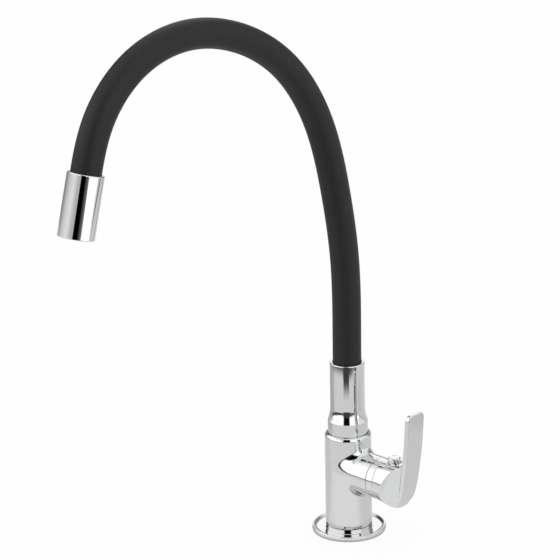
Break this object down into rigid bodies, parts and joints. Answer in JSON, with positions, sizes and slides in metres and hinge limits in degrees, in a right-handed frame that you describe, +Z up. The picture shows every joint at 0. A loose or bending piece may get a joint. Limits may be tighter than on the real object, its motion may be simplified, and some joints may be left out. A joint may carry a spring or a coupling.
{
  "type": "kitchen faucet",
  "caption": "Deck-mounted kitchen faucet with a side lever, quarter-turn valve, swivelling flexible gooseneck spout and aerated nozzle.",
  "frame": {"origin": "on the deck surface, on the axis of the body and of the hole that it is mounted in", "axes": "+Z up along the body and the spout swivel, -Y the way the spout reaches at rest, +X along the valve branch towards the lever"},
  "size_m": [0.0914, 0.2809, 0.4437],
  "materials": {
    "chrome": "polished plated brass",
    "brass": "machined, uncoated",
    "steel": "bright stainless",
    "rubber": "matte black moulded rubber",
    "silicone": "satin charcoal silicone",
    "plastic": "moulded, satin",
    "ceramic": "lapped white ceramic"
  },
  "bodies": {
    "base": {"body_casting": "chrome", "base_flange": "chrome", "flange_gasket": "rubber", "mounting_shank": "brass", "deck_rubber_washer": "rubber", "deck_steel_washer": "steel", "mounting_nut": "brass", "trim_ring": "chrome", "cartridge_housing": "brass", "seat_seal": "rubber", "fixed_disc": "ceramic"},
    "lever": {"lever_handle": "chrome", "lever_set_screw": "steel", "set_screw_plug": "chrome", "valve_spindle": "brass", "spindle_seal": "rubber", "spindle_clip": "steel", "moving_disc": "ceramic"},
    "spout_foot": {"spout_collar": "chrome", "swivel_spigot": "brass", "swivel_oring_lower": "rubber", "swivel_oring_upper": "rubber", "swivel_snap_ring": "steel", "swivel_glide_washer": "plastic", "lower_hose_fitting": "brass", "spout_sleeve_lower": "silicone", "gooseneck_core_lower": "steel", "water_tube_lower": "plastic", "spout_sleeve_lower_bend": "silicone", "gooseneck_core_lower_bend": "steel", "water_tube_lower_bend": "plastic"},
    "spout_arch": {"spout_sleeve_arch": "silicone", "gooseneck_core_arch": "steel", "water_tube_arch": "plastic", "spout_sleeve_upper_bend": "silicone", "gooseneck_core_upper_bend": "steel", "water_tube_upper_bend": "plastic"},
    "spout_head": {"spout_sleeve_outlet": "silicone", "gooseneck_core_outlet": "steel", "water_tube_outlet": "plastic", "upper_hose_fitting": "brass", "nozzle_shell": "chrome", "nozzle_seal_washer": "rubber", "aerator_housing": "plastic", "flow_regulator": "plastic", "aerator_grille": "plastic"}
  },
  "joints": [
    {"name": "lever_turn", "type": "hinge", "parent": "base", "child": "lever", "pos_m": [0, 0, 0.0467], "axis": [1, 0, 0], "range_deg": [0, 90]},
    {"name": "spout_swivel", "type": "hinge", "parent": "base", "child": "spout_foot", "pos_m": [0, 0, 0.0743], "axis": [0, 0, 1], "continuous": true},
    {"name": "arch_flex", "type": "hinge", "parent": "spout_foot", "child": "spout_arch", "pos_m": [0, -0.01179, 0.26174], "axis": [1, 0, 0], "range_deg": [-15, 15], "deforming": ["spout_sleeve_lower_bend", "gooseneck_core_lower_bend", "water_tube_lower_bend"]},
    {"name": "outlet_flex", "type": "hinge", "parent": "spout_arch", "child": "spout_head", "pos_m": [0, -0.17627, 0.37921], "axis": [1, 0, 0], "range_deg": [-25, 20], "deforming": ["spout_sleeve_upper_bend", "gooseneck_core_upper_bend", "water_tube_upper_bend"]}
  ]
}
